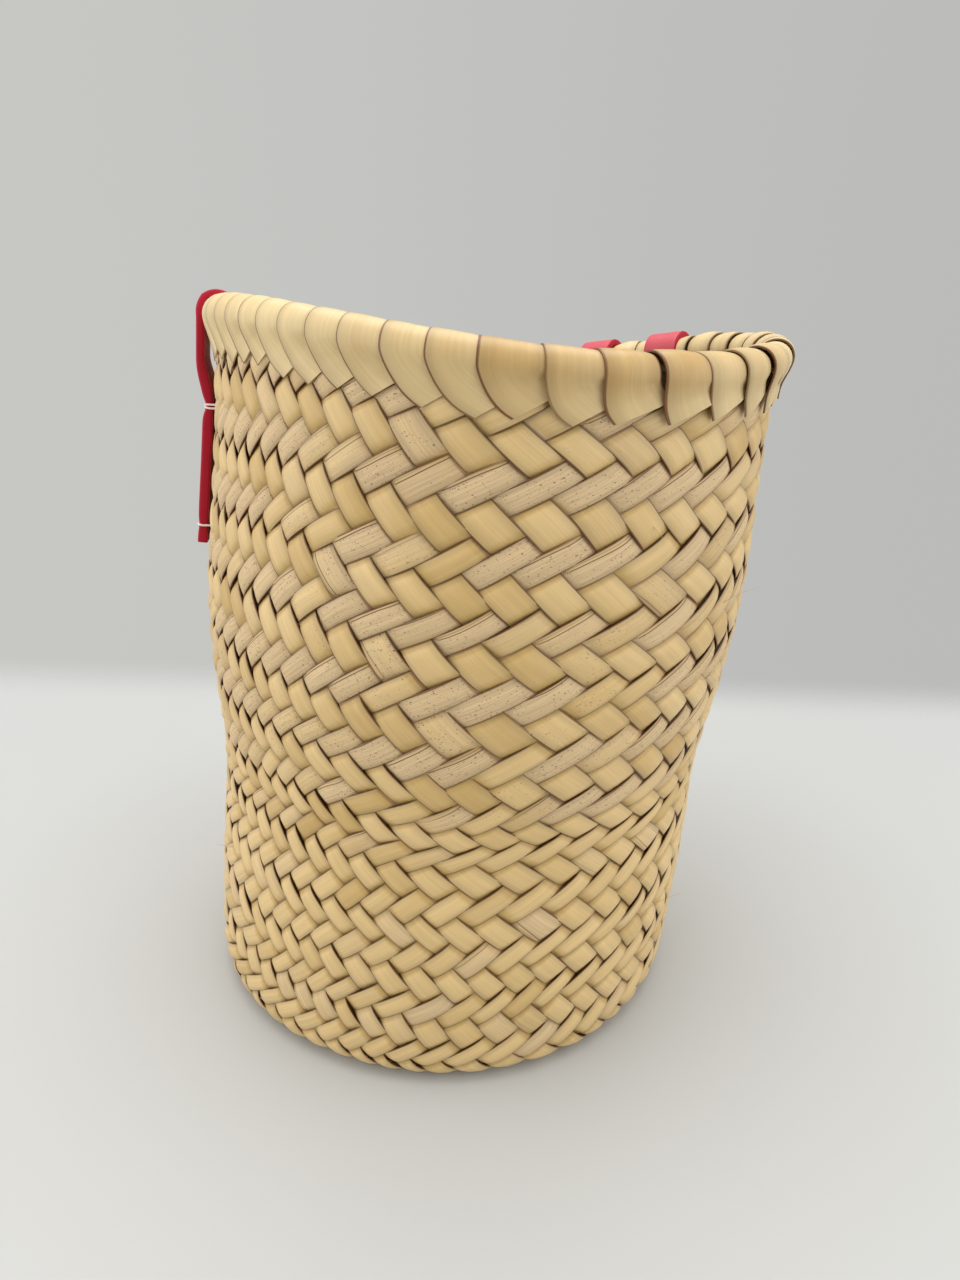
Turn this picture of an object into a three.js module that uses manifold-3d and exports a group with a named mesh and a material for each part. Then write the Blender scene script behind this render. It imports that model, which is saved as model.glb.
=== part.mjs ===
// Basket bag: a round basket plaited from palm-leaf strips, with a wrapped rim and two leather strap
// handles that are sewn to the outside, pass over the rim and hang inside. Millimetres, +Z up.
// The origin is the middle of the flat base. Angles run anticlockwise from +X, seen from above.
import * as THREE from "three";
import { mergeVertices } from "three/addons/utils/BufferGeometryUtils.js";
import Module from "manifold-3d";

// Body
const BODY_HEIGHT = 250; // floor to the crest of the rim, on average
const BASE_RADIUS = 96.6; // outside of the wall, carried down to the floor
const RIM_RADIUS = 95.7; // outside of the wall, carried up to the crest
const WALL_THICKNESS = 3; // two crossing layers of strip
const CORNER_RADIUS = 11; // round turn from the base into the wall
const LEAN = 16; // the soft wall drifts this far towards +X between base and rim
const BELLY_DEPTH = 4; // the upper wall swells out all round
const BELLY_HEIGHT = 159;
const BELLY_SPREAD = 48;
const WAIST_DEPTH = 2; // crease pressed in all round the lower wall
const WAIST_HEIGHT = 97;
const WAIST_SPREAD = 27;
const RIM_TILT = 9.8; // the rim stands this much higher on one side, and lower on the other
const RIM_TILT_ANGLE = 257;
const RIM_WAVE = 6.2; // and it rises and dips twice round
const RIM_WAVE_ANGLE = 19;
const RIM_RIGID_HEIGHT = 225; // from here up the wall only follows the rim's rise and dip

// Plait: two families of slanting strips, over two and under two
const STRIP_COUNT = 44; // strips of one family, so floats in one row
const ROW_COUNT = 25; // rows of floats from floor to crest, slanting left and right by turns
const ROW_RELIEF = 1; // how far the line between two rows lies behind the floats

// Rim
const RIM_ROLL = 9.2; // diameter of the wrapped roll
const RIM_DEPTH = 17; // crest to the lower edge of the wrapping
const WRAP_THICKNESS = 1.2;
const WRAP_LAP = 0.6; // step where one wrap lies over the next
const WRAP_EDGE = 0.6; // width of that step along the rim
const WRAP_SLANT = 7; // how far a wrap travels along the rim on its way over it

// Handles: the angles of each handle's two ends
const HANDLES = [
  { name: "handle_a", ends: [168, 188] },
  { name: "handle_b", ends: [40, 60] },
];
const STRAP_WIDTH = 15;
const STRAP_THICKNESS = 3.5;
const STRAP_BEVEL = 0.6;
const STRAP_RIM_GAP = 1.6; // slack between the strap and the roll that it passes over
const UPPER_STITCH_DROP = 15.5; // lower edge of the wrapping to the upper stitch
const STITCH_SPACING = 39; // upper stitch to lower stitch
const TAIL_END = 6; // lower stitch to the cut end
const LOOP_DROP = 96; // middle of the roll to the centre of the loop's bend
const LOOP_WALL_GAP = 11; // loop to the inside of the wall, because the stiff strap springs off it
const TWIST_START = 8; // below the roll, where the strap starts to turn edge-on
const THREAD_DIAMETER = 1.4;
const THREAD_CORNER = 1.1; // bend radius of the thread's middle line

const CLEARANCE = 0.3; // between pieces that touch

// Steps in the curved pieces
const CORNER_STEPS = 3;
const INNER_WALL_STEPS = 9;
const ROLL_STEPS = 6;
const CORE_SIDES = 8;
const TAIL_STEPS = 5;
const BEND_STEPS = 4;
const LEG_STEPS = 9;
const LOOP_STEPS = 10;
const THREAD_SIDES = 6;
const THREAD_CORNER_STEPS = 3;
const HOLE_SIDES = 8;

const FULL_TURN = 2 * Math.PI;
const UP = new THREE.Vector3(0, 0, 1);
const radians = THREE.MathUtils.degToRad;
const { lerp, smoothstep } = THREE.MathUtils;
const wasm = await Module();
wasm.setup();

// Sizes that follow from the ones above
const rowHeight = BODY_HEIGHT / ROW_COUNT;
const pitchAngle = FULL_TURN / STRIP_COUNT;
const halfWall = WALL_THICKNESS / 2;
const rollRadius = RIM_ROLL / 2;
const coreRadius = rollRadius - WRAP_THICKNESS - CLEARANCE;
const wallTopDepth = rollRadius + coreRadius + CLEARANCE;
const threadRadius = THREAD_DIAMETER / 2;
const strapOnWall = halfWall + CLEARANCE + STRAP_THICKNESS / 2;
const strapOnWrap = halfWall + CLEARANCE + WRAP_THICKNESS + WRAP_LAP + STRAP_RIM_GAP + STRAP_THICKNESS / 2;
const bendRadius = rollRadius + WRAP_LAP + STRAP_RIM_GAP + STRAP_THICKNESS / 2;
const hingeRadius = bendRadius + STRAP_THICKNESS / 2;
const upperStitchDepth = RIM_DEPTH + UPPER_STITCH_DROP;
const lowerStitchDepth = upperStitchDepth + STITCH_SPACING;
const tailDepth = lowerStitchDepth + TAIL_END;
const firstHingeAngle = radians(45);
const secondHingeAngle = radians(135);
const splitAngle = CLEARANCE / 2 / bendRadius;

const palmMaterial = new THREE.MeshStandardMaterial({ color: 0xbca276, roughness: 0.6, metalness: 0 });
const rimMaterial = new THREE.MeshStandardMaterial({ color: 0xc8b184, roughness: 0.55, metalness: 0 });
const coreMaterial = new THREE.MeshStandardMaterial({ color: 0x9a8258, roughness: 0.8, metalness: 0 });
const leatherMaterial = new THREE.MeshStandardMaterial({ color: 0xb01c30, roughness: 0.5, metalness: 0 });
const threadMaterial = new THREE.MeshStandardMaterial({ color: 0xe8dcd4, roughness: 0.7, metalness: 0 });

// Rise or dip of the rim at an angle round the basket.
function rimLift(angle) {
  const tilt = RIM_TILT * Math.cos(angle - radians(RIM_TILT_ANGLE));
  return tilt + RIM_WAVE * Math.cos(2 * (angle - radians(RIM_WAVE_ANGLE)));
}

// Outer radius of the wall at a height above the floor.
function wallRadius(height) {
  const waist = WAIST_DEPTH * Math.exp(-(((height - WAIST_HEIGHT) / WAIST_SPREAD) ** 2));
  const belly = BELLY_DEPTH * Math.exp(-(((height - BELLY_HEIGHT) / BELLY_SPREAD) ** 2));
  return lerp(BASE_RADIUS, RIM_RADIUS, height / BODY_HEIGHT) + belly - waist;
}

// Sideways drift of the wall's middle line at a height, and how much of the rim's lift it follows.
function wallDrift(height) {
  return LEAN * Math.max(0, (height - CORNER_RADIUS) / (BODY_HEIGHT - CORNER_RADIUS));
}

function liftShare(height) {
  return Math.min(1, height / RIM_RIGID_HEIGHT) ** 2;
}

// A point of the wall: its angle, its height before the rim's rise or dip, and how far it lies
// inside the outer face.
function wallPoint(angle, height, inset) {
  const radius = wallRadius(height) - inset;
  return new THREE.Vector3(
    wallDrift(height) + radius * Math.cos(angle),
    radius * Math.sin(angle),
    height + liftShare(height) * rimLift(angle),
  );
}

// Distance from a point in the basket to the inner face of the wall.
function roomInside(point) {
  const settles = 3;
  let height = point.z;
  for (let pass = 0; pass < settles; pass += 1) {
    const angle = Math.atan2(point.y, point.x - wallDrift(height));
    height = point.z - liftShare(height) * rimLift(angle);
  }
  const reach = Math.hypot(point.x - wallDrift(height), point.y);
  return wallRadius(height) - WALL_THICKNESS - reach;
}

// A point near the rim: how far it lies outside the middle of the wall, and how far below the crest.
function rimPoint(angle, out, depth) {
  return wallPoint(angle, BODY_HEIGHT - depth, halfWall - out);
}

// A point of the round turn into the base. The turn runs from 0 under the base to 1 at the wall.
function cornerPoint(angle, turn, inset) {
  const arc = (turn * Math.PI) / 2;
  const radius = CORNER_RADIUS - inset;
  const middle = wallRadius(CORNER_RADIUS) - CORNER_RADIUS;
  const reach = middle + radius * Math.sin(arc);
  const height = CORNER_RADIUS - radius * Math.cos(arc);
  return new THREE.Vector3(reach * Math.cos(angle), reach * Math.sin(angle), height);
}

// Whole steps from 0 to 1, both ends included.
function steps(count) {
  return Array.from({ length: count + 1 }, (_, index) => index / count);
}

// A closed solid from triangles over shared points, turned so that its faces point out.
function solidFrom(points, triangles) {
  let volume = 0;
  for (const [a, b, c] of triangles) {
    volume += points[a].dot(points[b].clone().cross(points[c]));
  }
  const outward = volume > 0 ? triangles : triangles.map(([a, b, c]) => [a, c, b]);
  const geometry = new THREE.BufferGeometry();
  geometry.setFromPoints(points);
  geometry.setIndex(outward.flat());
  geometry.computeVertexNormals();
  return geometry;
}

// A solid through sections with equal point counts. The sections close into a ring, or the first
// and last are capped.
function sweep(sections, ring) {
  const size = sections[0].length;
  const triangles = [];
  const spans = ring ? sections.length : sections.length - 1;
  for (let span = 0; span < spans; span += 1) {
    const here = span * size;
    const there = ((span + 1) % sections.length) * size;
    for (let side = 0; side < size; side += 1) {
      const next = (side + 1) % size;
      triangles.push([here + side, there + side, there + next]);
      triangles.push([here + side, there + next, here + next]);
    }
  }
  if (!ring) {
    const last = (sections.length - 1) * size;
    for (let side = 1; side < size - 1; side += 1) {
      triangles.push([0, side, side + 1]);
      triangles.push([last, last + side + 1, last + side]);
    }
  }
  return solidFrom(sections.flat(), triangles);
}

function toManifold(geometry) {
  const bare = geometry.clone();
  bare.deleteAttribute("normal");
  bare.deleteAttribute("uv");
  const merged = mergeVertices(bare);
  return new wasm.Manifold(new wasm.Mesh({
    numProp: 3,
    vertProperties: new Float32Array(merged.attributes.position.array),
    triVerts: new Uint32Array(merged.index.array),
  }));
}

function fromManifold(manifold) {
  const mesh = manifold.getMesh();
  const geometry = new THREE.BufferGeometry();
  geometry.setAttribute("position", new THREE.BufferAttribute(mesh.vertProperties, 3));
  geometry.setIndex(new THREE.BufferAttribute(mesh.triVerts, 1));
  geometry.computeVertexNormals();
  return geometry;
}

function part(name, geometry, material) {
  const mesh = new THREE.Mesh(geometry, material);
  mesh.name = name;
  return mesh;
}

// The round plaited bottom, which lies flat on the floor.
function basePlait() {
  const radius = wallRadius(CORNER_RADIUS) - CORNER_RADIUS - CLEARANCE;
  const profile = [
    new THREE.Vector2(0, 0),
    new THREE.Vector2(radius, 0),
    new THREE.Vector2(radius, WALL_THICKNESS),
    new THREE.Vector2(0, WALL_THICKNESS),
  ];
  const geometry = new THREE.LatheGeometry(profile, STRIP_COUNT);
  geometry.rotateX(Math.PI / 2);
  return geometry;
}

// One section of the wall. Its outer side zigzags with the strips: up one row along a strip of one
// family, and up the next row along a strip of the other.
function wallSection(angle) {
  const section = steps(CORNER_STEPS).map((turn) => cornerPoint(angle, turn, 0));
  const firstRow = Math.floor(CORNER_RADIUS / rowHeight) + 1;
  const topHeight = BODY_HEIGHT - wallTopDepth;
  for (let row = firstRow; (row + 1) * rowHeight < topHeight; row += 1) {
    const leaning = row % 2 === 0 ? 0 : -pitchAngle;
    section.push(wallPoint(angle + leaning, row * rowHeight, ROW_RELIEF));
    section.push(wallPoint(angle - pitchAngle / 2, (row + 0.5) * rowHeight, 0));
  }
  section.push(wallPoint(angle, topHeight, 0));
  for (const share of steps(INNER_WALL_STEPS)) {
    section.push(wallPoint(angle, lerp(topHeight, CORNER_RADIUS, share), WALL_THICKNESS));
  }
  for (const turn of steps(CORNER_STEPS).reverse().slice(1)) {
    section.push(cornerPoint(angle, turn, WALL_THICKNESS));
  }
  return section;
}

// The plaited wall, open at the top, with a hole for each thread that passes through it.
function wallPlait(holes) {
  const sections = [];
  for (let strip = 0; strip < STRIP_COUNT; strip += 1) {
    sections.push(wallSection(strip * pitchAngle));
  }
  let wall = toManifold(sweep(sections, true));
  for (const hole of holes) {
    wall = wall.subtract(toManifold(hole));
  }
  return fromManifold(wall);
}

// The bundle of leaf that the rim is rolled over, standing on the wall's top edge.
function rimCore() {
  const sections = [];
  for (let strip = 0; strip < STRIP_COUNT; strip += 1) {
    const section = [];
    for (let side = 0; side < CORE_SIDES; side += 1) {
      const turn = (side / CORE_SIDES) * FULL_TURN;
      const out = coreRadius * Math.cos(turn);
      section.push(rimPoint(strip * pitchAngle, out, rollRadius - coreRadius * Math.sin(turn)));
    }
    sections.push(section);
  }
  return sweep(sections, true);
}

// One section of the wrapping: an arch over the core whose two legs close on the wall. The wraps
// slant, so a point's angle drifts on the way over the rim.
function wrapSection(angle, lap) {
  const section = [];
  const drift = (out) => (WRAP_SLANT / RIM_RADIUS) * (out / RIM_ROLL);
  const place = (out, depth) => section.push(rimPoint(angle + drift(out), out, depth));
  const foot = halfWall + CLEARANCE;
  const outer = rollRadius + lap;
  const inner = rollRadius - WRAP_THICKNESS;
  place(foot + WRAP_THICKNESS + lap, RIM_DEPTH);
  for (const share of steps(ROLL_STEPS)) {
    place(outer * Math.cos(share * Math.PI), rollRadius - outer * Math.sin(share * Math.PI));
  }
  place(-foot - WRAP_THICKNESS - lap, RIM_DEPTH);
  place(-foot, RIM_DEPTH);
  for (const share of steps(ROLL_STEPS - 2).reverse()) {
    place(inner * Math.cos(share * Math.PI), rollRadius - inner * Math.sin(share * Math.PI));
  }
  place(foot, RIM_DEPTH);
  return section;
}

// The folded strip ends that wrap the rim, each lying over the edge of the next.
function rimWrapping() {
  const sections = [];
  const edgeAngle = WRAP_EDGE / RIM_RADIUS;
  for (let wrap = 0; wrap < STRIP_COUNT; wrap += 1) {
    sections.push(wrapSection(wrap * pitchAngle, 0));
    sections.push(wrapSection((wrap + 1) * pitchAngle - edgeAngle, WRAP_LAP));
  }
  return sweep(sections, true);
}

// The frame of one handle: the middles of the roll at its two ends, the line between them, and the
// directions out of the basket and up.
function handleFrame(handle) {
  const middles = handle.ends.map((end) => rimPoint(radians(end), 0, rollRadius));
  const along = middles[1].clone().sub(middles[0]).normalize();
  const out = along.clone().cross(UP).normalize();
  const up = out.clone().cross(along).normalize();
  return { middles, along, out, up };
}

// The bend of a strap over the roll. Turn 0 is the outer side, a half turn is the inner side.
function bendPlace(middle, out, up, turn) {
  const facing = out.clone().multiplyScalar(Math.cos(turn)).addScaledVector(up, Math.sin(turn));
  const square = up.clone().multiplyScalar(Math.cos(turn)).addScaledVector(out, -Math.sin(turn));
  return { point: middle.clone().addScaledVector(facing, bendRadius), facing, square };
}

// A strap along places, each with the way that its smooth side faces. A section is square to the
// line through its neighbours, or to the direction that its place gives.
function strapSolid(places) {
  const halfWidth = STRAP_WIDTH / 2;
  const halfThickness = STRAP_THICKNESS / 2;
  const corners = [];
  for (const [across, through] of [[1, 1], [-1, 1], [-1, -1], [1, -1]]) {
    const flat = [across * (halfWidth - STRAP_BEVEL), through * halfThickness];
    const edge = [across * halfWidth, through * (halfThickness - STRAP_BEVEL)];
    corners.push(...(across * through > 0 ? [edge, flat] : [flat, edge]));
  }
  const sections = places.map(({ point, facing, square }, index) => {
    const before = places[Math.max(0, index - 1)].point;
    const after = places[Math.min(places.length - 1, index + 1)].point;
    const onward = after.clone().sub(before).normalize();
    const along = square ? square.clone().multiplyScalar(Math.sign(square.dot(onward))) : onward;
    const face = facing.clone().addScaledVector(along, -facing.dot(along)).normalize();
    const across = along.clone().cross(face);
    return corners.map(([side, rise]) =>
      point.clone().addScaledVector(across, side).addScaledVector(face, rise));
  });
  return sweep(sections, false);
}

// Outward direction of the wall at an angle.
function radial(angle) {
  return new THREE.Vector3(Math.cos(angle), Math.sin(angle), 0);
}

// The sewn end of a strap: from its cut end up the outside of the wall, out past the wrapping, and
// over the roll as far as the first hinge.
function strapTail(angle, middle, frame) {
  const face = radial(angle);
  const places = [];
  for (const share of steps(2)) {
    const depth = lerp(tailDepth, upperStitchDepth, share);
    places.push({ point: rimPoint(angle, strapOnWall, depth), facing: face });
  }
  for (const share of steps(TAIL_STEPS).slice(1)) {
    const depth = lerp(upperStitchDepth, RIM_DEPTH, share);
    const out = lerp(strapOnWall, strapOnWrap, smoothstep(share, 0, 1));
    places.push({ point: rimPoint(angle, out, depth), facing: face });
  }
  for (const share of steps(BEND_STEPS)) {
    const out = face.clone().lerp(frame.out, share).normalize();
    places.push(bendPlace(middle, out, frame.up, share * (firstHingeAngle - splitAngle)));
  }
  return strapSolid(places);
}

// The stretch of strap over the crest, between the two hinges.
function strapCrest(middle, frame) {
  const places = steps(2 * BEND_STEPS).map((share) => {
    const turn = lerp(firstHingeAngle + splitAngle, secondHingeAngle - splitAngle, share);
    return bendPlace(middle, frame.out, frame.up, turn);
  });
  return strapSolid(places);
}

// One leg of the loop, from the second hinge down to the loop's bend. It turns edge-on to the wall
// on its way down, with its smooth side away from the other leg.
function loopLeg(middle, frame, hang, away) {
  const places = steps(BEND_STEPS).map((share) => {
    const turn = lerp(secondHingeAngle + splitAngle, Math.PI, share);
    return bendPlace(middle, frame.out, frame.up, turn);
  });
  const top = places[places.length - 1];
  for (const share of steps(LEG_STEPS).slice(1)) {
    const twist = smoothstep(share * LOOP_DROP, TWIST_START, LOOP_DROP) * (Math.PI / 2);
    const facing = frame.out.clone().multiplyScalar(-Math.cos(twist));
    facing.addScaledVector(away, Math.sin(twist));
    places.push({ point: top.point.clone().addScaledVector(hang, share), facing });
  }
  return places;
}

// The middle line of a handle's loop: two legs, which lean into the basket by the time they reach the
// bend, and the round bend between them.
function loopPlaces(frame, lean) {
  const hang = frame.up.clone().multiplyScalar(-LOOP_DROP).addScaledVector(frame.out, -lean);
  const back = frame.along.clone().negate();
  const firstLeg = loopLeg(frame.middles[0], frame, hang, back);
  const secondLeg = loopLeg(frame.middles[1], frame, hang, frame.along);
  const start = firstLeg[firstLeg.length - 1].point;
  const end = secondLeg[secondLeg.length - 1].point;
  const centre = start.clone().lerp(end, 0.5);
  const down = hang.clone().normalize();
  const bend = steps(LOOP_STEPS).slice(1, -1).map((share) => {
    const facing = back.clone().multiplyScalar(Math.cos(share * Math.PI));
    facing.addScaledVector(down, Math.sin(share * Math.PI));
    return { point: centre.clone().addScaledVector(facing, start.distanceTo(end) / 2), facing };
  });
  return { firstLeg, bend, secondLeg: secondLeg.reverse() };
}

// The loop of a handle, which hangs inside the basket. It leans as far as it needs to clear the wall.
function handleLoop(frame) {
  const tightest = Math.min(...loopPlaces(frame, 0).bend.map(({ point }) => roomInside(point)));
  const lean = Math.max(0, STRAP_WIDTH / 2 + LOOP_WALL_GAP - tightest);
  const { firstLeg, bend, secondLeg } = loopPlaces(frame, lean);
  return strapSolid([...firstLeg, ...bend, ...secondLeg]);
}

// The place of one stitch: the middle of the wall under the strap, the directions out and along the
// wall, half the loop's width, and how far it reaches out over the strap and in behind the wall.
function stitchPlace(angle, depth) {
  const out = radial(angle);
  const half = STRAP_WIDTH / 2 + CLEARANCE + threadRadius;
  const sag = (half + threadRadius) ** 2 / (2 * BASE_RADIUS);
  return {
    middle: rimPoint(angle, 0, depth),
    out,
    along: UP.clone().cross(out),
    half,
    outside: strapOnWall + STRAP_THICKNESS / 2 + CLEARANCE + threadRadius,
    inside: -halfWall - sag - CLEARANCE - threadRadius,
  };
}

// A thread tied round a strap and through the wall.
function stitchThread({ middle, out, along, half, outside, inside }) {
  const corners = [[half, outside, 0], [-half, outside, 1], [-half, inside, 2], [half, inside, 3]];
  const sections = [];
  for (const [across, reach, quarter] of corners) {
    const centreAcross = across - Math.sign(across) * THREAD_CORNER;
    const centreReach = reach - (reach === outside ? THREAD_CORNER : -THREAD_CORNER);
    for (const share of steps(THREAD_CORNER_STEPS)) {
      const turn = ((quarter + share) * Math.PI) / 2;
      const spoke = along.clone().multiplyScalar(Math.cos(turn)).addScaledVector(out, Math.sin(turn));
      const centre = middle.clone().addScaledVector(along, centreAcross);
      centre.addScaledVector(out, centreReach).addScaledVector(spoke, THREAD_CORNER);
      const section = [];
      for (let side = 0; side < THREAD_SIDES; side += 1) {
        const angle = (side / THREAD_SIDES) * FULL_TURN;
        const rim = spoke.clone().multiplyScalar(Math.cos(angle)).addScaledVector(UP, Math.sin(angle));
        section.push(centre.clone().addScaledVector(rim, threadRadius));
      }
      sections.push(section);
    }
  }
  return sweep(sections, true);
}

// The two holes that a stitch needs in the wall.
function stitchHoles({ middle, out, along, half }) {
  const radius = threadRadius + CLEARANCE;
  return [-half, half].map((across) => {
    const hole = new THREE.CylinderGeometry(radius, radius, 4 * WALL_THICKNESS, HOLE_SIDES);
    hole.applyQuaternion(new THREE.Quaternion().setFromUnitVectors(new THREE.Vector3(0, 1, 0), out));
    const place = middle.clone().addScaledVector(along, across);
    return hole.translate(place.x, place.y, place.z);
  });
}

// A handle: two sewn tails, two stretches over the rim, the hanging loop and four stitches. Its
// hinge lines run along the outer face of the strap, beside the two ends of each crest stretch.
function addHandle(group, handle, holes) {
  const frame = handleFrame(handle);
  handle.ends.forEach((end, index) => {
    const angle = radians(end);
    const number = index + 1;
    const middle = frame.middles[index];
    group.add(part(`${handle.name}_tail_${number}`, strapTail(angle, middle, frame), leatherMaterial));
    group.add(part(`${handle.name}_crest_${number}`, strapCrest(middle, frame), leatherMaterial));
    const depths = { upper: upperStitchDepth, lower: lowerStitchDepth };
    for (const [level, depth] of Object.entries(depths)) {
      const place = stitchPlace(angle, depth);
      holes.push(...stitchHoles(place));
      group.add(part(`${handle.name}_stitch_${number}_${level}`, stitchThread(place), threadMaterial));
    }
  });
  group.add(part(`${handle.name}_loop`, handleLoop(frame), leatherMaterial));
  const hinges = [firstHingeAngle, secondHingeAngle].map((turn) => {
    const facing = bendPlace(frame.middles[0], frame.out, frame.up, turn).facing;
    return frame.middles[0].clone().lerp(frame.middles[1], 0.5).addScaledVector(facing, hingeRadius);
  });
  group.userData[handle.name] = { hinges, axis: frame.along };
}

const basket = new THREE.Group();
const holes = [];
for (const handle of HANDLES) {
  addHandle(basket, handle, holes);
}
basket.add(part("base_plait", basePlait(), palmMaterial));
basket.add(part("wall_plait", wallPlait(holes), palmMaterial));
basket.add(part("rim_core", rimCore(), coreMaterial));
basket.add(part("rim_wrapping", rimWrapping(), rimMaterial));

export default basket;
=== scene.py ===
"""Looks of the basket bag: plaited palm-leaf strips, a wrapped rim, leather strap handles and thread."""
import math
from types import SimpleNamespace

import bpy
import numpy as np
from mathutils import Matrix, Vector


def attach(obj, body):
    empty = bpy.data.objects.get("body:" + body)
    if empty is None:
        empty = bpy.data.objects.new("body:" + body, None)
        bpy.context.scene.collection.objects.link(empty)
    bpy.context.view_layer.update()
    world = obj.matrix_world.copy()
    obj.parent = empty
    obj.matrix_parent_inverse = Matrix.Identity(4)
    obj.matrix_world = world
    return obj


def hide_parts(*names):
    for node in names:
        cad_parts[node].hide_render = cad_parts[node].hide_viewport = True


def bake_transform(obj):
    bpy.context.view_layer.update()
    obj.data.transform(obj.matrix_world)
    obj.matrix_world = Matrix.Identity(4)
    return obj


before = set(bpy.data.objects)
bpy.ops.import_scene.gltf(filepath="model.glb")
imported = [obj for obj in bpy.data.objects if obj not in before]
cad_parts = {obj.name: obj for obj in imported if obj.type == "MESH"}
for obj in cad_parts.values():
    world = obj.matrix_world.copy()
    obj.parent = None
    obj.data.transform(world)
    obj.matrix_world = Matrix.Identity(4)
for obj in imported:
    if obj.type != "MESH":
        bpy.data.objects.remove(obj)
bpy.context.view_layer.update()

MM = 0.001
UP = np.array([0.0, 0.0, 1.0])

# Body, with the sizes of the solid model
BODY_HEIGHT = 250 * MM
BASE_RADIUS = 96.6 * MM
RIM_RADIUS = 95.7 * MM
HALF_WALL = 1.5 * MM
CORNER_RADIUS = 11 * MM
LEAN = 16 * MM
BELLY_DEPTH = 4 * MM
BELLY_HEIGHT = 159 * MM
BELLY_SPREAD = 48 * MM
WAIST_DEPTH = 2 * MM
WAIST_HEIGHT = 97 * MM
WAIST_SPREAD = 27 * MM
RIM_TILT = 9.8 * MM
RIM_TILT_ANGLE = math.radians(257)
RIM_WAVE = 6.2 * MM
RIM_WAVE_ANGLE = math.radians(19)
RIM_RIGID_HEIGHT = 225 * MM
STRIP_COUNT = 44
ROW_COUNT = 25
ROW_HEIGHT = BODY_HEIGHT / ROW_COUNT
PITCH_ANGLE = 2 * math.pi / STRIP_COUNT

# Leaf strips
LEAF_THICKNESS = 0.45 * MM
LEAF_HALF_WIDTH = 4 * MM
STRIP_WIDTHS = (1.01, 1.09)  # shares of the pitch
STRIP_SHIFT = 0.02  # strips
WEAVE_DEPTH = 1.1 * MM  # middle of the plait to the middle of a strip on top
WAVE_STEEPNESS = 1.7
LEAF_CROWN = 0.75 * MM  # how far a float bulges between its edges
FLOAT_TILT = 0.22 * MM  # spreads among the floats
FLOAT_LIFT = 0.08 * MM
FLOATS_BELOW = 2  # floats of a strip below the floor line
FLOAT_COUNT = ROW_COUNT + 4
PLAIT_TURN = -0.6  # strips, from the +X direction to the first strip
ROW_SHIFT = -0.08  # rows
PLAIT_SHEAR = 0.23  # strips, by which each row slides along the one below
SHEAR_ROW = 14
CROWD_ANGLE = math.radians(225)  # where the strips crowd together most
CROWD = 0.14
CROWD_LOSS = 0.4  # share of this that the lowest rows lack
LOW_CROWD_ANGLE = math.radians(293)  # middle of a second crowding, low down
LOW_CROWD = 0.19
LOW_CROWD_ROWS = (14, 2)
PINCH_RISE = 4 * MM  # above the waist, where the rows crowd together
PINCH_SPREAD = 12 * MM
PINCH_ROWS = 0.3
SIDE_RIPPLE = 0.12  # strips
UP_RIPPLE = 0.1  # rows
OUT_RIPPLE = 0.35 * MM
STEPS_PER_ROW = 8
LOWEST_ROW = -1.55  # strips end under the base
END_DIVE = 2.2 * MM  # and press in there
END_DIVE_ROWS = 0.75
SETTLE_HEIGHT = 1.2 * MM  # leaf lower than this is pressed flat by the floor
TOP_ROWS = {"falling": 23.72, "rising": 24.35}  # strips end under the wrapping
GROUP_COUNT = 4
ACROSS = np.array([-1, -0.74, -0.27, 0.27, 0.74, 1])
RING_ACROSS = np.concatenate([ACROSS, ACROSS[::-1]])  # along the top of a strip, and back below
RING_SIDE = np.repeat([1.0, -1.0], len(ACROSS))
FIBRE_RADIUS = 0.14 * MM
FIBRE_FOOT = 1 * MM
FIBRE_CURL = 0.6 * MM
# Loose fibres: angle in degrees, height and length in millimetres, way round and way up
FIBRES = ((322, 172, 17, 1, 0.5), (316, 150, 12, 1, -0.2), (318, 50, 20, 0.7, 0.9),
          (214, 118, 8, -0.8, 0.5), (208, 62, 9, -1, -0.3), (299, 205, 7, 0.6, -1))

# Leaf looks by place. A pair of rows says where a change begins and ends.
PALE_ROWS = (10, 6)
CREASE_SHADE_TONE = 0.65  # the tone channel holds a leaf's tone below this, and painted crease shade above
DEEPEST_TONE = CREASE_SHADE_TONE - 0.05
CREASE_SHADE_PLACE = (0.75, 0.1)  # how far over a strip lies where its painted crease shade begins and is full
MATT_ROWS = (8, 13)
LOW_MATT_ROWS = (9, 6)
SPECK_ROW = 14.5
SPECK_SPREAD = 3.2
UPPER_SPECK_ROWS = (17, 20)
LEAF_SHIFT = 3  # metres of leaf texture, within which each strip starts elsewhere

# Leaf material
PALM_COLOURS = ((0.655, 0.467, 0.212, 1), (0.49, 0.318, 0.104, 1), (0.61, 0.448, 0.258, 1))
RIM_COLOURS = ((0.65, 0.495, 0.25, 1), (0.42, 0.245, 0.07, 1), (0.60, 0.46, 0.28, 1))
SPECK_COLOUR = (0.12, 0.06, 0.028, 1)
LINE_COLOUR = (0.13, 0.055, 0.02, 1)
# Browned edges, partly painted shade of the gaps between strips, and painted shade in the creases
EDGE_BROWN_AND_SHADE_COLOUR = (0.15, 0.055, 0.017, 1)
# Scales along and across a leaf, and detail
LEAF_NOISES = {"fibre": (45, 11, 3), "streak": (14, 2.2, 2), "blotch": (60, 0.8, 2), "drift": (40, 0, 1)}
FOLD_STEP = (1.5, 1.55)
FOLD_MATT = (0.3, 0.6)
SPECKS = ((1.2 * MM, 0.27), (0.6 * MM, 0.36))  # spacing, and largest radius as a share of it
LEAF_BUMP = (0.5, 0.35 * MM)  # strength and height

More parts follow.
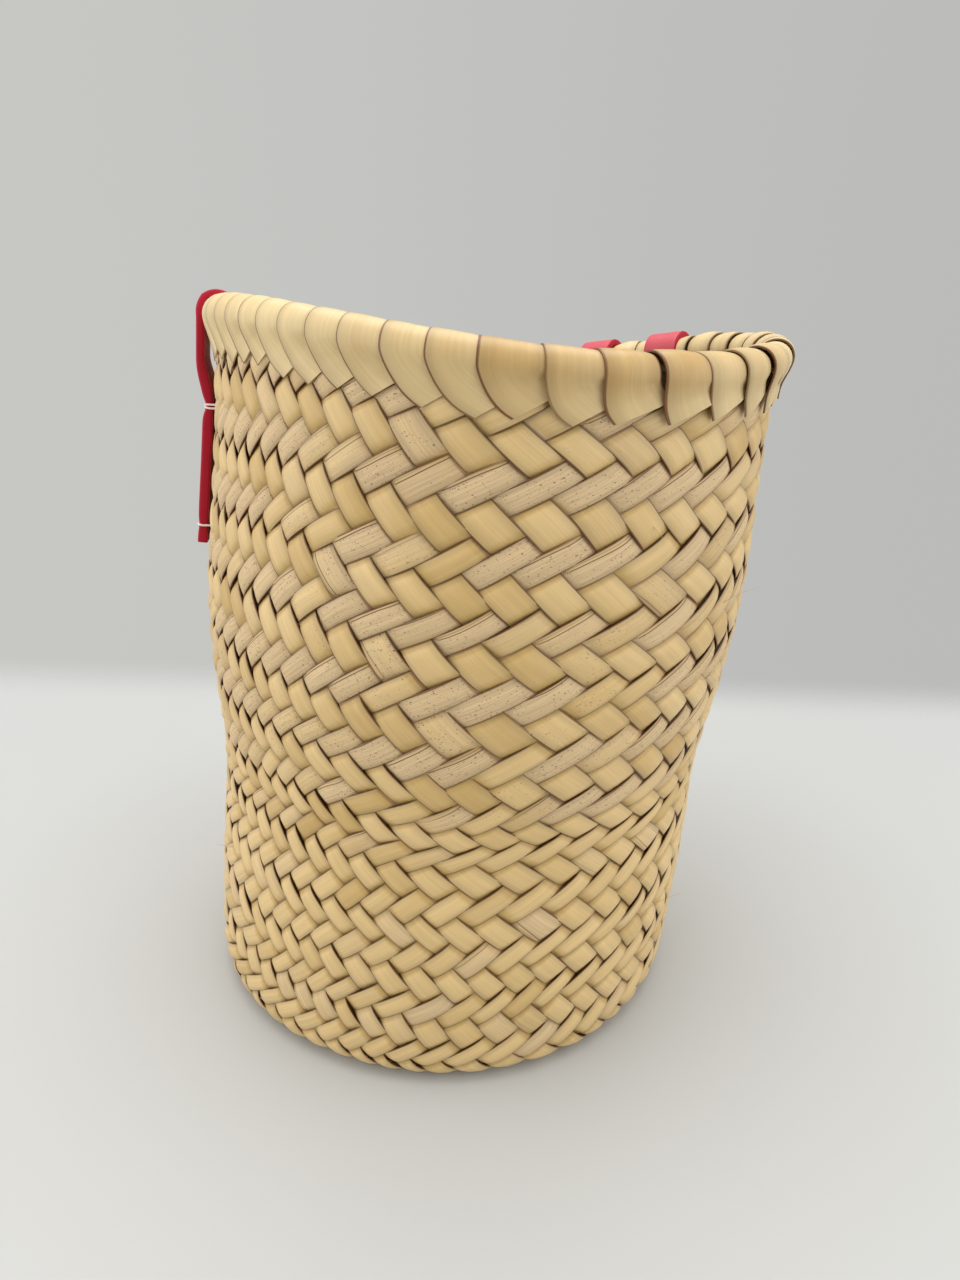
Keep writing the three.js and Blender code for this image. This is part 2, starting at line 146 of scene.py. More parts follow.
# Other materials. A bump has a strength and a height.
CORE_COLOURS = ((0.16, 0.09, 0.035, 1), (0.40, 0.28, 0.13, 1))
CORE_BUMP = (0.6, 0.3 * MM)
FIBRE_COLOUR = (0.52, 0.38, 0.19, 1)
# The smooth side's red is lightened partly as painted sheen
LEATHER_AND_SHEEN_COLOURS = ((0.58, 0.095, 0.115, 1), (0.50, 0.065, 0.085, 1))
CUT_COLOUR = (0.37, 0.004, 0.020, 1)
LEATHER_BUMP = (0.25, 0.2 * MM)
THREAD_COLOURS = ((0.72, 0.58, 0.53, 1), (0.86, 0.78, 0.72, 1))
THREAD_BUMP = (0.5, 0.15 * MM)

# Rim
ROLL_RADIUS = 4.6 * MM
WRAP_ROLL = 5 * MM  # middle of a wrap to the middle of the roll
WRAP_END = 16.5 * MM  # crest to the end of a wrap, at its middle line
LEG_OUT = 1.9 * MM  # a wrap's end out of the middle of the wall
LEG_SWELL = 1.1 * MM
LEG_RISE = 2 * MM
LEG_STEPS = 13
ROLL_STEPS = 15
WRAP_GROUP_COUNT = 2
LEAST_SLANT = 0.3
SLANT_ANGLE = math.radians(200)  # middle of the side where the wraps slant fully
WRAP_START = -0.4  # strips, from a falling strip to its wrap
WRAP_SHIFT = 0.06
TUCKED_SHORTER = 3.2 * MM
LOOSE_SHORTER = 2 * MM
LENGTH_SPREAD = 1 * MM
TUCKED_OUT = 0.4 * MM  # how far the leg stands off
LOOSE_OUT = 1.2 * MM
OFF_DEPTHS = (8 * MM, 14 * MM)
TIP_IN = 0.45 * MM  # how far a tip presses in
TIP_LENGTH = 4 * MM
LEG_TOP = 5 * MM  # depth where a wrap leaves the roll
LOW_DEPTHS = (4 * MM, 13 * MM)
TAPER_DEPTHS = (8.5 * MM, 18.5 * MM)
SLANT_SLIDE = 0.75  # strips, over the depth below
SLIDE_DEPTH = 8.3 * MM
LOOSE_SLIDE = 0.36
SLIDE_LENGTH = 18 * MM
WRAP_WIDTH = 0.94  # shares of the pitch
WIDTH_SPREAD = 0.06
TIP_DROP = 3.3 * MM  # from a wrap's middle line to its lower edge
TUCKED_DROP = 1.7 * MM
WRAP_LAP = 1 * MM
LAP_SPREAD = 0.3 * MM
SLANT_CROWN = 0.25 * MM
LOOSE_CROWN = 0.75 * MM
PRESS_DEPTHS = (14 * MM, 5 * MM)
ROLL_PRESS = 1.1 * MM
PRESS_SPREAD = 9 * MM
SHADED_FRONT_ANGLE = math.radians(288)  # the wraps get their deepest painted shade here
CORE_STRANDS = 5
CORE_STRAND_RADIUS = 1.5 * MM
CORE_SPREAD = 1.5 * MM  # middle of the roll to the middle of a strand
CORE_TURNS = 11
CORE_STEPS = 264

# Handles
HANDLE_ENDS = {"handle_a": (168, 188), "handle_b": (40, 60)}
STRAP_WIDTH = 15 * MM
STRAP_THICKNESS = 3.5 * MM
BEND_THICKNESS = 2.8 * MM
STRAP_EDGE = 0.8 * MM  # rounding of the cut edges
LEATHER_EDGE = (STRAP_WIDTH / 2 - 0.8 * MM, STRAP_WIDTH / 2 - 0.2 * MM)
STRAP_OUT = 3.9 * MM  # middle of the wall to the middle of the strap sewn to it
BEND_RADIUS = 6.6 * MM  # middle of the roll to the middle of the strap over it
STRAP_OFF_WRAP = 6.65 * MM
RIM_DEPTH = 17 * MM
UPPER_STITCH = 32.5 * MM  # depths below the crest
LOWER_STITCH = 71.5 * MM
TAIL_DEPTH = 77.5 * MM
STITCH_PINCH = 1.1 * MM
STITCH_SPREAD = 2.6 * MM
LOWER_PINCH = 0.3  # share of the pinch at the lower stitch
STITCH_CLEAR = 0.5 * MM
STITCH_INSIDE = -2.6 * MM  # out of the middle of the wall
STITCH_SQUARE = 0.28
STITCH_STEPS = 72
STRAND_WANDER = 0.25 * MM
LOOP_DROP = 96 * MM
LOOP_WALL_GAP = 11 * MM
TWIST_START = 8 * MM
THREAD_RADIUS = 0.38 * MM
LIFT_LENGTH = 1 * MM  # upper stitch to where the strap leaves the wall
SLIM_LENGTH = 8 * MM
TAIL_STEPS = 54
BEND_STEPS = 19
LEG_POINTS = 44
ROUND_STEPS = 29
EDGE_POINTS = 4
FLAT_POINTS = 3

# Base
BASE_STRIP = 8.1 * MM
BASE_REACH = 84 * MM
BASE_WIDTHS = (0.9, 1.0)
BASE_STEPS = 96
BASE_LIFT = 1.6 * MM  # the edge of the bottom lies on the turned-in ends of the wall
BASE_LIFT_RADII = (BASE_REACH - 9 * MM, BASE_REACH - 3 * MM)

# Camera, fitted to the photograph
IMAGE_SIZE = (960, 1280)
FOCAL_PIXELS = 900
SENSOR = 36.0
CAMERA_PLACE = Vector((12.35, -335.86, 270.87)) * MM
CAMERA_PITCH = math.radians(22.16)
CAMERA_ROLL = math.radians(1.68)
CAMERA_NEAR = 10 * MM

# Stage
FLOOR_BACK = 240 * MM  # the floor ends this far behind the basket's middle
FLOOR_REACH = 430 * MM
FLOOR_FADE = 35 * MM
FLOOR_COLOUR = (0.52, 0.525, 0.51, 1)
AMBIENT_COLOUR = (0.46, 0.46, 0.46, 1)
BACKDROP_COLOURS = ((0.57, 0.57, 0.55, 1), (0.50, 0.505, 0.49, 1))
# Lamps: place, target and size in metres, and power
LAMPS = {
    "top": ((0, 0.15, 1.0), (0, 0, 0.1), 0.9, 8),
    "left": ((-0.85, -0.35, 0.5), (0, 0, 0.12), 1.5, 9.6),
    "right": ((0.85, -0.35, 0.5), (0, 0, 0.12), 1.5, 8.4),
}

# Meshes
SHARP_ANGLE = math.radians(50)
TUBE_GUIDE = np.array([0.31, 0.17, 0.94])  # a direction that no tube follows
ATLAS_BACK = 1.1  # where a strip's bottom begins in the atlas, in widths
ATLAS_TURN = 2.18
ATLAS_WIDTH = 2.2
ATLAS_MARGIN = 0.01
ATLAS_CAP = 0.006


# Shape of the basket

def rim_lift(angle):
    """Rise or dip of the rim at an angle round the basket."""
    tilt = RIM_TILT * np.cos(angle - RIM_TILT_ANGLE)
    return tilt + RIM_WAVE * np.cos(2 * (angle - RIM_WAVE_ANGLE))


def wall_radius(height):
    """Outer radius of the wall at a height above the floor."""
    waist = WAIST_DEPTH * np.exp(-(((height - WAIST_HEIGHT) / WAIST_SPREAD) ** 2))
    belly = BELLY_DEPTH * np.exp(-(((height - BELLY_HEIGHT) / BELLY_SPREAD) ** 2))
    return BASE_RADIUS + (RIM_RADIUS - BASE_RADIUS) * height / BODY_HEIGHT + belly - waist


def wall_drift(height):
    """Sideways drift of the wall's middle line."""
    return LEAN * np.maximum(0, (height - CORNER_RADIUS) / (BODY_HEIGHT - CORNER_RADIUS))


def lift_share(height):
    """How much of the rim's rise or dip the wall follows at a height."""
    return np.minimum(1, height / RIM_RIGID_HEIGHT) ** 2


def plait_point(angle, travel, out):
    """Points of the plait: angle round the basket, travel up its section from the floor line, round
    the bottom edge where it is small or negative, and distance out of the middle of the plait."""
    height = np.maximum(travel, CORNER_RADIUS)
    below = CORNER_RADIUS - np.minimum(travel, CORNER_RADIUS)
    arc = np.minimum(below / CORNER_RADIUS, np.pi / 2)
    under = np.maximum(0, below - CORNER_RADIUS * np.pi / 2)
    turn = CORNER_RADIUS + out - HALF_WALL
    reach = wall_radius(height) - CORNER_RADIUS + turn * np.cos(arc) - under
    rise = height - turn * np.sin(arc) + lift_share(height) * rim_lift(angle)
    return np.stack([wall_drift(height) + reach * np.cos(angle), reach * np.sin(angle), rise], -1)


def rim_point(angle, out, depth):
    """Points near the rim: distance out of the middle of the wall, and depth below the crest."""
    return plait_point(angle, BODY_HEIGHT - depth, out)


def smoothstep(value, low, high):
    share = np.clip((value - low) / (high - low), 0, 1)
    return share * share * (3 - 2 * share)


def unit(vector):
    return vector / np.linalg.norm(vector, axis=-1, keepdims=True)


def angle_between(first, second):
    """Turn from the second angle to the first, the short way."""
    return np.angle(np.exp(1j * (first - second)))


def ripple(rng, size, highest, count):
    """A smooth uneven field over the wall, made of a count of waves that close round the basket."""
    around = rng.integers(1, highest + 1, count)
    upward = rng.uniform(-highest, highest, count)
    phase = rng.uniform(0, 2 * np.pi, count)
    share = size / math.sqrt(count)

    def field(angle, row):
        height = 0
        for turns, climb, start in zip(around, upward, phase):
            height = height + share * np.sin(turns * angle + climb * row / ROW_COUNT * np.pi + start)
        return height

    return field


# Meshes

def ring_quads(here, after):
    """Faces between rings of points and the rings after them."""
    return np.stack([here, after, np.roll(after, -1, -1), np.roll(here, -1, -1)], -1)


def outward(points, faces, corner_maps):
    """Turns the faces of a closed body so that they point out."""
    a, b, c, d = (points[faces[:, corner]] for corner in range(4))
    volume = np.einsum("ij,ij->", a, np.cross(b, c)) + np.einsum("ij,ij->", a, np.cross(c, d))
    if volume > 0:
        return faces, corner_maps
    return faces[:, ::-1], [corners[:, ::-1] for corners in corner_maps]


def add_object(name, data):
    made = bpy.data.objects.new(name, data)
    bpy.context.scene.collection.objects.link(made)
    return made


def make_object(name, points, faces, material, maps=None, leaf=None):
    """A smooth-shaded mesh object with UV maps by corner and a leaf colour by point."""
    mesh = bpy.data.meshes.new(name)
    mesh.from_pydata(points.tolist(), [], faces.tolist())
    for map_name, corners in (maps or {}).items():
        layer = mesh.uv_layers.new(name=map_name)
        layer.data.foreach_set("uv", np.ascontiguousarray(corners, np.float32).ravel())
    if leaf is not None:
        attribute = mesh.attributes.new("leaf", "FLOAT_COLOR", "POINT")
        attribute.data.foreach_set("color", np.ascontiguousarray(leaf, np.float32).ravel())
    mesh.polygons.foreach_set("use_smooth", np.ones(len(mesh.polygons), bool))
    mesh.set_sharp_from_angle(angle=SHARP_ANGLE)
    mesh.materials.append(material)
    return add_object(name, mesh)


def settled(points):
    """Points with the lowest ones raised smoothly, so that none lies below the floor."""
    height = points[:, 2]
    pressed = SETTLE_HEIGHT * np.exp(np.minimum(0, height / SETTLE_HEIGHT - 1))
    return np.column_stack([points[:, :2], np.where(height < SETTLE_HEIGHT, pressed, height)])


def corner_places(*corners):
    """UV places of a face's four corners, each given as its u and v."""
    return np.stack([np.stack(np.broadcast_arrays(*corner), -1) for corner in corners], -2)


def ribbon_object(name, rings, along, across, leaf, material):
    """Flat strips as one object. The rings have the shape (strips, steps, points round, 3), with the
    top from edge to edge and then the bottom back. Along and across place each point on its leaf."""
    strips, steps, size, _ = rings.shape
    half = size // 2
    index = np.arange(strips * steps * size).reshape(strips, steps, size)
    place = np.concatenate([np.linspace(0, 1, half), np.linspace(ATLAS_BACK, ATLAS_BACK + 1, half)])
    number = np.arange(strips)[:, None]
    rows = (number + place / ATLAS_WIDTH) / strips
    next_rows = (number + np.append(place[1:], ATLAS_TURN) / ATLAS_WIDTH) / strips
    run = ATLAS_MARGIN + (1 - 2 * ATLAS_MARGIN) * np.arange(steps) / (steps - 1)
    u0, u1 = run[None, :-1, None], run[None, 1:, None]
    v0, v1 = rows[:, None], next_rows[:, None]
    faces = [ring_quads(index[:, :-1], index[:, 1:]).reshape(-1, 4)]
    atlas = [corner_places((u0, v0), (u1, v0), (u1, v1), (u0, v1)).reshape(-1, 4, 2)]
    for end, shift in ((0, -ATLAS_CAP), (steps - 1, ATLAS_CAP)):
        top = index[:, end, :half]
        bottom = index[:, end, half:][:, ::-1]
        cap = np.stack([top[:, :-1], top[:, 1:], bottom[:, 1:], bottom[:, :-1]], -1)
        left, right = rows[:, : half - 1], rows[:, 1:half]
        near, far = run[end], run[end] + shift
        corners = corner_places((near, left), (near, right), (far, right), (far, left))
        order = slice(None) if end == 0 else slice(None, None, -1)
        faces.append(cap[..., order].reshape(-1, 4))
        atlas.append(corners[..., order, :].reshape(-1, 4, 2))
    points = settled(rings.reshape(-1, 3))
    faces, (atlas,) = outward(points, np.concatenate(faces), [np.concatenate(atlas)])
    leaf_map = np.stack([along.ravel(), across.ravel()], -1)[faces.ravel()]
    maps = {"Leaf": leaf_map, "OFBake": atlas}
    return make_object(name, points, faces, material, maps, leaf.reshape(-1, 4))


def tube_object(name, paths, radius, sides, material, closed=False):
    """Round tubes along paths of the shape (tubes, steps, 3)."""
    paths = np.asarray(paths, float)
    tubes, steps, _ = paths.shape
    if closed:
        onward = unit(np.roll(paths, -1, 1) - np.roll(paths, 1, 1))
    else:
        onward = unit(np.gradient(paths, axis=1))
    first = unit(np.cross(onward, TUBE_GUIDE))
    second = np.cross(onward, first)
    turn = np.arange(sides) / sides * 2 * np.pi
    radius = np.broadcast_to(np.asarray(radius, float), (tubes, steps))[..., None, None]
    spokes = first[:, :, None] * np.cos(turn)[:, None] + second[:, :, None] * np.sin(turn)[:, None]
    points = (paths[:, :, None] + spokes * radius).reshape(-1, 3)
    index = np.arange(tubes * steps * sides).reshape(tubes, steps, sides)
    here = index if closed else index[:, :-1]
    after = np.roll(index, -1, 1) if closed else index[:, 1:]
    faces, _ = outward(points, ring_quads(here, after).reshape(-1, 4), [])
    return make_object(name, points, faces, material)


# Materials

def set_inputs(tree, node, inputs):
    """Inputs of a node, as values or as links."""
    for key, value in inputs.items():
        if isinstance(value, bpy.types.NodeSocket):
            tree.links.new(value, node.inputs[key])
        else:
            node.inputs[key].default_value = value


def add_node(tree, kind, inputs=None, **settings):
    made = tree.nodes.new(kind)
    for key, value in settings.items():
        setattr(made, key, value)
    set_inputs(tree, made, inputs or {})
    return made


def compute(tree, operation, first, second=0.0):
    return add_node(tree, "ShaderNodeMath", {0: first, 1: second}, operation=operation).outputs[0]


def product(tree, first, second):
    return compute(tree, "MULTIPLY", first, second)


def total(tree, first, second):
    return compute(tree, "ADD", first, second)


def ease(tree, value, low, high, start=0.0, end=1.0):
    """Smooth step of a value between two limits."""
    inputs = {"Value": value, "From Min": low, "From Max": high, "To Min": start, "To Max": end}
    made = add_node(tree, "ShaderNodeMapRange", inputs, interpolation_type="SMOOTHSTEP")
    return made.outputs["Result"]


def blend_colour(tree, share, first, second, mode="MIX"):
    inputs = {0: share, 6: first, 7: second}
    return add_node(tree, "ShaderNodeMix", inputs, data_type="RGBA", blend_type=mode).outputs[2]


def noise(tree, vector, scale=1.0, detail=2.0):
    inputs = {"Vector": vector, "Scale": scale, "Detail": detail}
    return add_node(tree, "ShaderNodeTexNoise", inputs).outputs[0]


def split(tree, vector):
    return add_node(tree, "ShaderNodeSeparateXYZ", {0: vector}).outputs


def bump(tree, height, strength, distance):
    inputs = {"Height": height, "Strength": strength, "Distance": distance}
    return add_node(tree, "ShaderNodeBump", inputs).outputs[0]


def new_material(name):
    material = bpy.data.materials.new(name)
    material.use_nodes = True
    tree = material.node_tree
    return material, tree, tree.nodes["Principled BSDF"]


def set_shader(tree, shader, **inputs):
    """Inputs of the shader, by name with _ for a space."""
    set_inputs(tree, shader, {key.replace("_", " "): value for key, value in inputs.items()})


def leaf_vector(tree, leaf, along_scale, across_scale):
    """Texture place on a leaf: along and across it, with another slice of the texture per strip."""
    inputs = {
        "X": product(tree, leaf.along, along_scale),
        "Y": product(tree, leaf.across, across_scale),
        "Z": product(tree, leaf.number, 97.0),
    }
    return add_node(tree, "ShaderNodeCombineXYZ", inputs).outputs[0]


def leaf_inputs(tree):
    """What a leaf material reads: places on the leaf, the leaf's own values, and noise along it."""
    leaf_map = add_node(tree, "ShaderNodeUVMap", uv_map="Leaf").outputs[0]
    place = split(tree, leaf_map)
    attribute = add_node(tree, "ShaderNodeAttribute", attribute_name="leaf").outputs
    tone, matt, number = add_node(tree, "ShaderNodeSeparateColor", {0: attribute["Color"]}).outputs
    leaf = SimpleNamespace(along=place[0], across=place[1], tone=tone, matt=matt, number=number)
    leaf.specked = attribute["Alpha"]
    for name, (along_scale, across_scale, detail) in LEAF_NOISES.items():
        vector = leaf_vector(tree, leaf, along_scale, across_scale)
        setattr(leaf, name, noise(tree, vector, detail=detail))
    return leaf


def fold_margin(tree, leaf):
    """The upper margin of most matt strips is folded over, so that the satin side shows there. Gives
    the place across the margin, and the shares of folded and bare leaf."""
    margin = total(tree, product(tree, leaf.number, 0.6), product(tree, leaf.drift, 0.7))
    margin = compute(tree, "SUBTRACT", margin, leaf.across)
    folded = product(tree, ease(tree, margin, *FOLD_STEP), ease(tree, leaf.matt, *FOLD_MATT))
    return margin, folded, compute(tree, "SUBTRACT", 1.0, folded)


def matt_patches(tree, leaf, bare):
    """How much of the matt side shows, in uneven patches and less on a folded margin."""
    patch = total(tree, leaf.matt, product(tree, leaf.blotch, 0.5))
    return product(tree, ease(tree, patch, 0.5, 0.95), compute(tree, "MAXIMUM", bare, 0.35))


def leaf_colour(tree, leaf, patch, pale, deep, matt_colour):
    """Colour of the leaf's faces: its tone, its matt patches, streaks, and painted shade that darkens its
    sides and lightens its middle a little.
    """
    # The leaf's own tone, without the painted crease shade
    own_tone = compute(tree, "MINIMUM", leaf.tone, CREASE_SHADE_TONE)
    shade = total(tree, own_tone, product(tree, leaf.blotch, 0.4))
    colour = blend_colour(tree, ease(tree, shade, 0.2, 1.0), pale, deep)
    colour = blend_colour(tree, product(tree, patch, 0.8), colour, matt_colour)
    satin_streaks = ease(tree, total(tree, leaf.fibre, leaf.streak), 0.7, 1.35, 0.93, 1.05)
    matt_grain = ease(tree, leaf.fibre, 0.36, 0.62, 0.84, 1.05)
    streaks = add_node(tree, "ShaderNodeMix", {0: patch, 2: satin_streaks, 3: matt_grain}).outputs[0]
    # Painted shade of the leaf's rounding: darker towards its sides, a little lighter in the middle
    painted_side_shade = ease(tree, compute(tree, "ABSOLUTE", leaf.across), 0.4, 1.0, 1.05, 0.82)
    streaks = product(tree, streaks, painted_side_shade)
    grey = add_node(tree, "ShaderNodeCombineColor", {0: streaks, 1: streaks, 2: streaks}).outputs[0]
    return blend_colour(tree, 1.0, colour, grey, "MULTIPLY")


def leaf_specks(tree, leaf, spacing, largest):
    """Dark dots of uneven size on a leaf, by their usual spacing and their radius as a share of it."""
    vector = leaf_vector(tree, leaf, 1 / spacing, LEAF_HALF_WIDTH / spacing)
    cells = add_node(tree, "ShaderNodeTexVoronoi", {"Vector": vector, "Scale": 1.0}).outputs
    radius = ease(tree, cells["Color"], 0.3, 1.0, 0.0, largest)
    return ease(tree, compute(tree, "SUBTRACT", radius, cells["Distance"]), -0.03, 0.05)


def speck_share(tree, leaf, bare):
    """How dark the specks make a point: they lie in zones of the bare matt leaf."""
    speck = compute(tree, "MAXIMUM", *(leaf_specks(tree, leaf, *specks) for specks in SPECKS))
    zone = total(tree, leaf.specked, product(tree, leaf.streak, 0.6))
    zone = product(tree, ease(tree, zone, 0.45, 0.8), bare)
    return product(tree, product(tree, speck, zone), 0.72)


def fold_lines(tree, leaf, margin):
    """Brown lines at the fold and beside it."""
    fold = compute(tree, "ABSOLUTE", compute(tree, "SUBTRACT", margin, FOLD_STEP[0]))
    line = product(tree, ease(tree, fold, 0.06, 0.01), ease(tree, leaf.matt, *FOLD_MATT))
    beside = compute(tree, "ABSOLUTE", compute(tree, "SUBTRACT", margin, 1.72))
    second = product(tree, ease(tree, beside, 0.05, 0.0), ease(tree, leaf.matt, 0.4, 0.7))
    lines = compute(tree, "MAXIMUM", line, product(tree, second, 0.7))
    return product(tree, lines, 0.9)


def edge_brown_and_shade_share(tree, leaf):
    """How dark the browned edges, partly painted shade of the gaps between strips, and the painted shade
    in the creases under other strips, make a point.
    """
    # Browned edges: partly real browning, partly painted shade of the gaps between strips
    edge = total(tree, compute(tree, "ABSOLUTE", leaf.across), product(tree, leaf.fibre, 0.12))
    edge = product(tree, ease(tree, edge, 0.97, 1.02), ease(tree, leaf.streak, 0.3, 0.6, 0.5, 1.0))
    # Painted shade in the creases where a strip dives under others
    crease_shade = ease(tree, leaf.tone, 0.78, 1.0, 0.0, 0.62)
    return compute(tree, "MAXIMUM", product(tree, edge, 0.95), crease_shade)


def leaf_bump(tree, leaf, folded):
    """Fibres, streaks and the folded margin as a fine relief."""
    depth = total(tree, product(tree, leaf.matt, 0.35), 0.12)
    height = total(tree, product(tree, leaf.fibre, depth), product(tree, leaf.streak, 0.35))
    height = total(tree, height, product(tree, folded, 0.8))
    return bump(tree, height, *LEAF_BUMP)


def palm_material(name, pale, deep, matt_colour):
    """Dried palm leaf: a satin side with faint streaks, and a matt side with fine grain, dark specks
    and a folded margin. The edges are browned, partly as painted shade of the gaps between strips,
    and the creases under other strips get painted shade."""
    material, tree, shader = new_material(name)
    leaf = leaf_inputs(tree)
    margin, folded, bare = fold_margin(tree, leaf)
    patch = matt_patches(tree, leaf, bare)
    colour = leaf_colour(tree, leaf, patch, pale, deep, matt_colour)
    colour = blend_colour(tree, speck_share(tree, leaf, bare), colour, SPECK_COLOUR)
    colour = blend_colour(tree, fold_lines(tree, leaf, margin), colour, LINE_COLOUR)
    colour = blend_colour(tree, edge_brown_and_shade_share(tree, leaf), colour, EDGE_BROWN_AND_SHADE_COLOUR)
    roughness = total(tree, product(tree, patch, 0.25), 0.4)
    set_shader(tree, shader, Base_Color=colour, Roughness=roughness, Normal=leaf_bump(tree, leaf, folded))
    set_shader(tree, shader, Specular_IOR_Level=0.4)
    return material


def core_material():
    """Dull leaf bundle inside the rim."""
    material, tree, shader = new_material("palm_core")
    place = add_node(tree, "ShaderNodeTexCoord").outputs["Object"]
    grain = noise(tree, place, 900, 3)
    colour = blend_colour(tree, grain, *CORE_COLOURS)
    set_shader(tree, shader, Base_Color=colour, Roughness=0.85, Normal=bump(tree, grain, *CORE_BUMP))
    return material


def fibre_material():
    material, tree, shader = new_material("palm_fibre")
    set_shader(tree, shader, Base_Color=FIBRE_COLOUR, Roughness=0.6)
    return material


def leather_material():
    """Dyed leather: fine grain on the smooth side, whose red is lightened partly as painted sheen, and
    rawer, deeper red cut edges.
    """
    material, tree, shader = new_material("strap_leather")
    leather_map = add_node(tree, "ShaderNodeUVMap", uv_map="Leather").outputs[0]
    cells = add_node(tree, "ShaderNodeTexVoronoi", {"Vector": leather_map, "Scale": 1500})
    cloud = noise(tree, leather_map, 130, 3)
    edge = ease(tree, compute(tree, "ABSOLUTE", split(tree, leather_map)[1]), *LEATHER_EDGE)
    colour = blend_colour(tree, edge, blend_colour(tree, cloud, *LEATHER_AND_SHEEN_COLOURS), CUT_COLOUR)
    roughness = total(tree, product(tree, cloud, 0.15), 0.38)
    grain = bump(tree, cells.outputs["Distance"], *LEATHER_BUMP)
    set_shader(tree, shader, Base_Color=colour, Roughness=roughness, Normal=grain)
    set_shader(tree, shader, Specular_IOR_Level=0.22)
    return material


def thread_material():
    material, tree, shader = new_material("thread")
    place = add_node(tree, "ShaderNodeTexCoord").outputs["Object"]
    fibre = noise(tree, place, 2600, 2)
    colour = blend_colour(tree, fibre, *THREAD_COLOURS)
    set_shader(tree, shader, Base_Color=colour, Roughness=0.7, Normal=bump(tree, fibre, *THREAD_BUMP))
    return material


# Plait

def wave(place):
    """Over and under by turns: two crossings over, two under."""
    return np.tanh(WAVE_STEEPNESS * np.cos(np.pi * place / 2)) / math.tanh(WAVE_STEEPNESS)


def pinch(row):
    """Rows crowd together at the crease of the waist."""
    off = (row * ROW_HEIGHT - WAIST_HEIGHT - PINCH_RISE) / PINCH_SPREAD
    return -PINCH_ROWS * np.tanh(off) * np.exp(-((off / 5) ** 2))


def plait_angle(turns, row):
    """Angle of a place counted in strips round the basket. The strips crowd together towards the first
    handle, and less so low down, where they crowd at the front too."""
    even = (turns + PLAIT_TURN + PLAIT_SHEAR * (row - SHEAR_ROW)) * PITCH_ANGLE
    off = even - CROWD_ANGLE
    crowd = -CROWD * (np.sin(off) + np.sin(2 * off) / 2 + np.sin(3 * off) / 5)
    low_crowd = -LOW_CROWD * np.sin(even - LOW_CROWD_ANGLE)
    low = smoothstep(row, *LOW_CROWD_ROWS)
    return even + crowd * (1 - CROWD_LOSS * low) + low_crowd * low


def plait_fields(rng):
    """Unevenness that both families of strips share: along the row, up, and out of the wall."""
    return ripple(rng, SIDE_RIPPLE, 9, 6), ripple(rng, UP_RIPPLE, 9, 6), ripple(rng, OUT_RIPPLE, 5, 5)


def float_hump(over):
    """How far the points round a strip bulge, by how far over the other strips it lies."""
    return (1 - np.abs(RING_ACROSS) ** 2.2) * LEAF_CROWN * over


def strip_leaf(rng, slant, rows, over, float_number):
    """Leaf colours along a strip: tone or painted crease shade, matt side, a number for each float, and
    specks.
    """
    tone = rng.uniform(0.05, 0.4) + rng.normal(0, 0.12, FLOAT_COUNT)[float_number]
    tone = np.clip(tone - 0.18 * smoothstep(rows, *PALE_ROWS), 0, DEEPEST_TONE)
    # Painted shade in the crease where the strip dives under others
    tone = tone + (1 - tone) * smoothstep(over, *CREASE_SHADE_PLACE)
    if slant < 0:
        matt = rng.uniform(0.35, 1)
    else:
        matt = rng.choice((0.0, 0.1, 0.4), p=(0.74, 0.2, 0.06))
    matt = matt * smoothstep(rows, *MATT_ROWS) + rng.normal(0, 0.2, FLOAT_COUNT)[float_number]
    matt = matt + 0.16 * smoothstep(rows, *LOW_MATT_ROWS)
    band = np.exp(-(((rows - SPECK_ROW) / SPECK_SPREAD) ** 2))
    band = band + 0.4 * smoothstep(rows, *UPPER_SPECK_ROWS)
    specked = matt * band * rng.uniform(0.7, 2)
    number = rng.uniform(0, 1, FLOAT_COUNT)[float_number]
    return np.clip(np.stack([tone, matt, number, specked], -1), 0, 1)


def wall_strip(rng, index, slant, rows, fields):
    """The ring points of one strip, its places along and across the leaf, and its leaf colours. Slant
    is 1 for strips that fall to the right, and -1 for strips that rise to the right."""
    sideways, upward, bulge = fields
    middle = rows[:, None]
    width = rng.uniform(*STRIP_WIDTHS)
    width = width + 0.03 * np.sin(middle * rng.uniform(0.5, 1.2) + rng.uniform(0, 6))
    offset = RING_ACROSS * width / 2 + rng.uniform(-STRIP_SHIFT, STRIP_SHIFT)
    row = middle + slant * offset / 2
    angle = plait_angle(index - slant * middle + offset / 2 + (0 if slant > 0 else 0.5), row)
    over = wave(2 * middle - 1) * slant
    float_number = np.floor(rows).astype(int) + FLOATS_BELOW
    tilt = rng.normal(0, FLOAT_TILT, FLOAT_COUNT)[float_number, None] * RING_ACROSS
    lift = rng.normal(0, FLOAT_LIFT, FLOAT_COUNT)[float_number, None]
    thickness = LEAF_THICKNESS * (1 - 0.5 * RING_ACROSS ** 4)
    out = WEAVE_DEPTH * over + float_hump(over) + lift + tilt + RING_SIDE * thickness / 2
    dive = smoothstep(row, LOWEST_ROW + END_DIVE_ROWS, LOWEST_ROW) * END_DIVE
    out = out - dive + bulge(angle, row)
    travel = (row + ROW_SHIFT + pinch(row) + upward(angle, row)) * ROW_HEIGHT
    points = plait_point(angle + sideways(angle, row) * PITCH_ANGLE, travel, out)
    step = math.hypot(ROW_HEIGHT, PITCH_ANGLE * RIM_RADIUS * (1 - slant * PLAIT_SHEAR))
    along = np.broadcast_to(middle * step + rng.uniform(0, LEAF_SHIFT), out.shape)
    leaf = strip_leaf(rng, slant, rows, over[:, 0], float_number)
    leaf = np.repeat(leaf[:, None], len(RING_SIDE), 1)
    return points, along, np.broadcast_to(RING_ACROSS, out.shape), leaf


